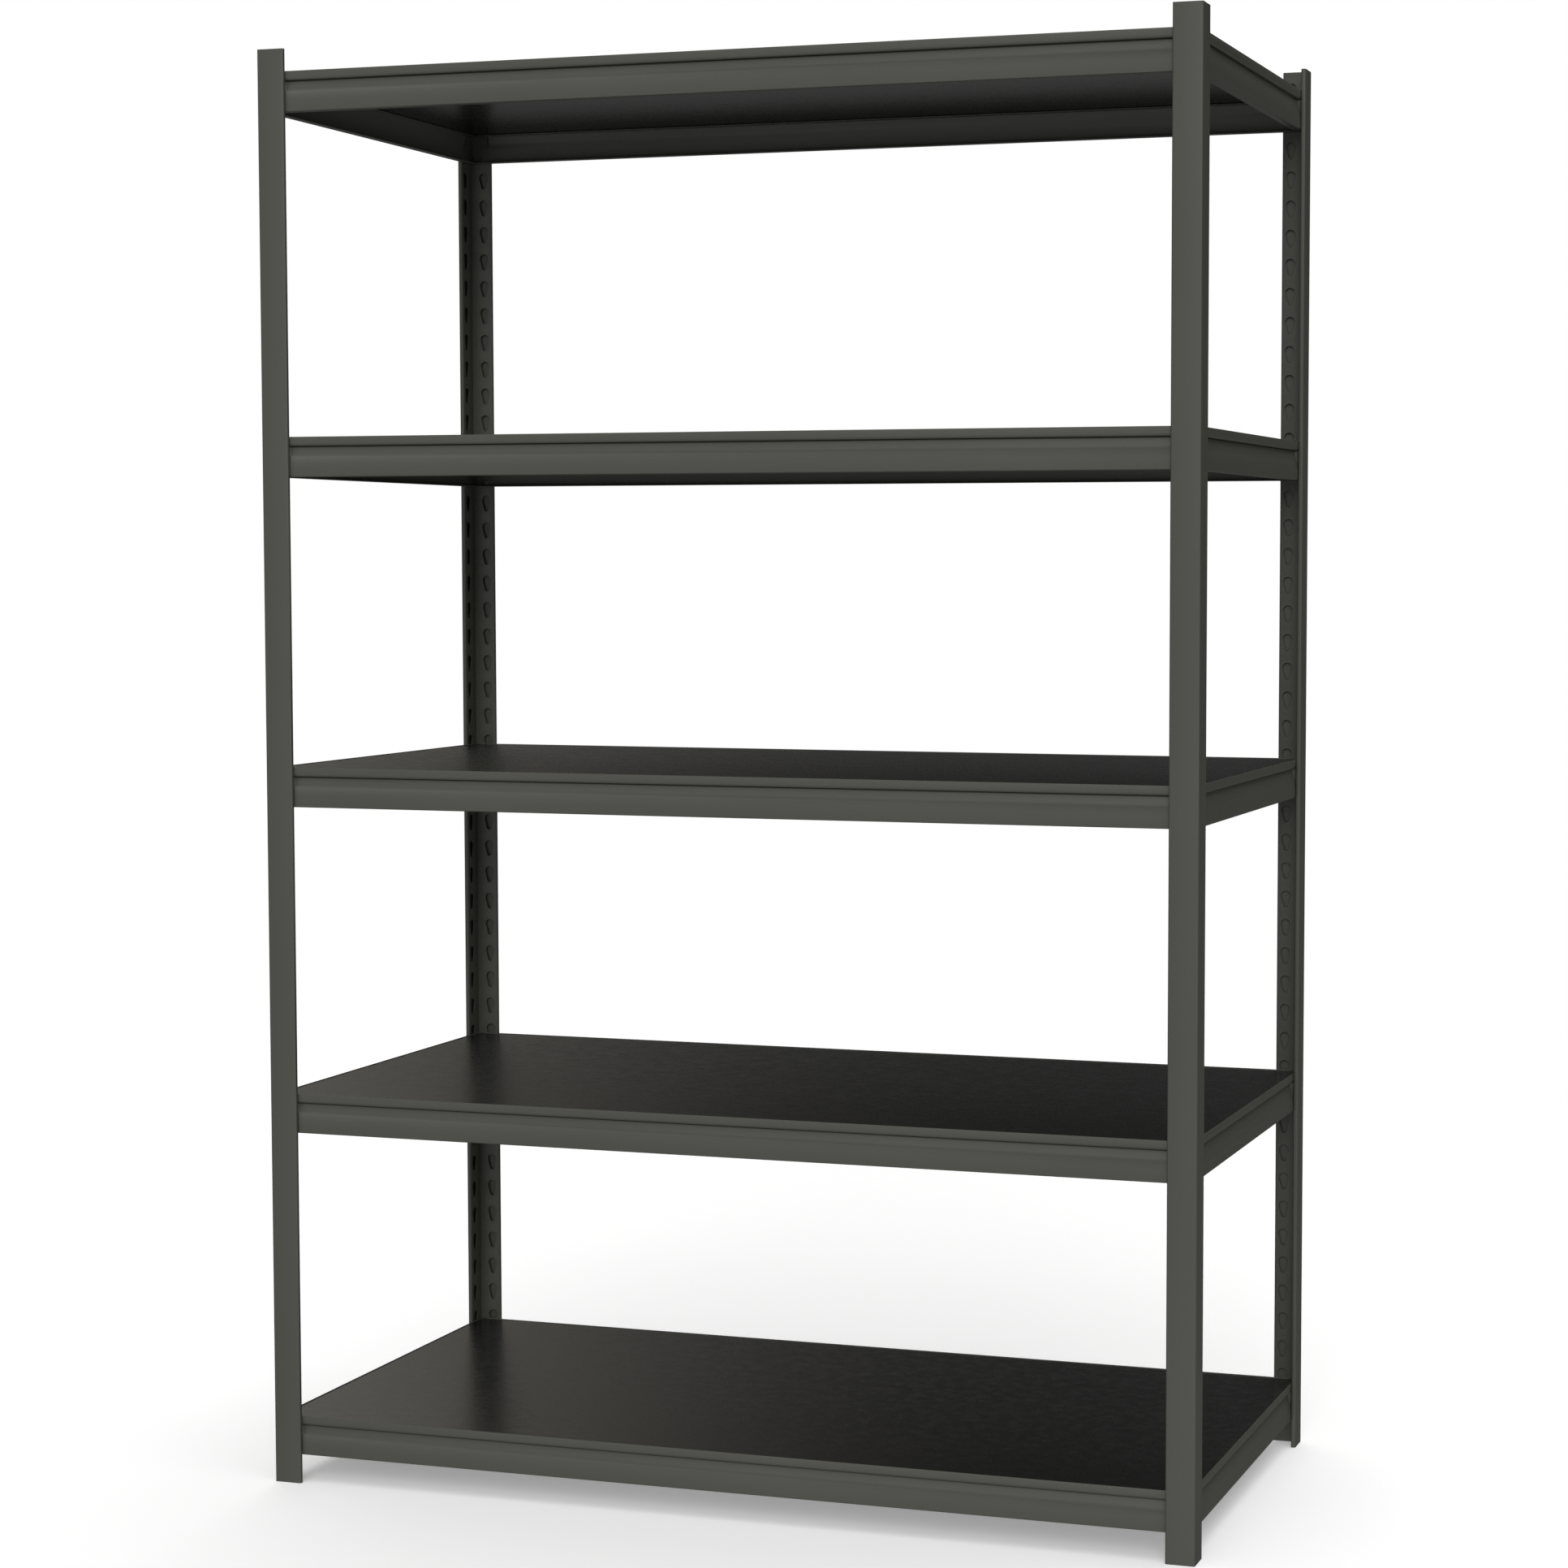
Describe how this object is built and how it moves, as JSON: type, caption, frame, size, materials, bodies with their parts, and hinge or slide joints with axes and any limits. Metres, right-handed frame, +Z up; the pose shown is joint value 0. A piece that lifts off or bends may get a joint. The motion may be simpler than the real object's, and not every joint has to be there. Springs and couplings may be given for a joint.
{
  "type": "boltless steel shelving",
  "caption": "Free-standing open shelving: slotted steel angle posts, hook-on riveted steel beams and a loose flat board on every level.",
  "frame": {"origin": "on the floor, at the middle of the footprint of the four posts", "axes": "+Z up, +X to the right along the long beams, front at -Y"},
  "size_m": [1.2192, 0.6096, 1.8288],
  "materials": {
    "post_paint": "satin",
    "beam_paint": "satin",
    "rivet_steel": "satin",
    "shelf_board": "satin"
  },
  "bodies": {
    "posts": {"post_front_left": "post_paint", "post_front_right": "post_paint", "post_rear_left": "post_paint", "post_rear_right": "post_paint"},
    "level_1": {"beam_front_1": "beam_paint", "beam_rear_1": "beam_paint", "beam_left_1": "beam_paint", "beam_right_1": "beam_paint", "rivets_1": "rivet_steel"},
    "board_body_1": {"board_1": "shelf_board"},
    "level_2": {"beam_front_2": "beam_paint", "beam_rear_2": "beam_paint", "beam_left_2": "beam_paint", "beam_right_2": "beam_paint", "rivets_2": "rivet_steel"},
    "board_body_2": {"board_2": "shelf_board"},
    "level_3": {"beam_front_3": "beam_paint", "beam_rear_3": "beam_paint", "beam_left_3": "beam_paint", "beam_right_3": "beam_paint", "rivets_3": "rivet_steel"},
    "board_body_3": {"board_3": "shelf_board"},
    "level_4": {"beam_front_4": "beam_paint", "beam_rear_4": "beam_paint", "beam_left_4": "beam_paint", "beam_right_4": "beam_paint", "rivets_4": "rivet_steel"},
    "board_body_4": {"board_4": "shelf_board"},
    "level_5": {"beam_front_5": "beam_paint", "beam_rear_5": "beam_paint", "beam_left_5": "beam_paint", "beam_right_5": "beam_paint", "rivets_5": "rivet_steel"},
    "board_body_5": {"board_5": "shelf_board"}
  },
  "joints": [
    {"name": "level_1_unhook", "type": "slide", "parent": "posts", "child": "level_1", "axis": [0, 0, 1], "range_m": [0, 0.0127]},
    {"name": "level_2_unhook", "type": "slide", "parent": "posts", "child": "level_2", "axis": [0, 0, 1], "range_m": [0, 0.0127]},
    {"name": "level_3_unhook", "type": "slide", "parent": "posts", "child": "level_3", "axis": [0, 0, 1], "range_m": [0, 0.0127]},
    {"name": "level_4_unhook", "type": "slide", "parent": "posts", "child": "level_4", "axis": [0, 0, 1], "range_m": [0, 0.0127]},
    {"name": "level_5_unhook", "type": "slide", "parent": "posts", "child": "level_5", "axis": [0, 0, 1], "range_m": [0, 0.0127]},
    {"name": "board_1_lift", "type": "slide", "parent": "level_1", "child": "board_body_1", "axis": [0, 0, 1], "range_m": [0, 0.35]},
    {"name": "board_2_lift", "type": "slide", "parent": "level_2", "child": "board_body_2", "axis": [0, 0, 1], "range_m": [0, 0.35]},
    {"name": "board_3_lift", "type": "slide", "parent": "level_3", "child": "board_body_3", "axis": [0, 0, 1], "range_m": [0, 0.35]},
    {"name": "board_4_lift", "type": "slide", "parent": "level_4", "child": "board_body_4", "axis": [0, 0, 1], "range_m": [0, 0.35]},
    {"name": "board_5_lift", "type": "slide", "parent": "level_5", "child": "board_body_5", "axis": [0, 0, 1], "range_m": [0, 0.35]}
  ]
}
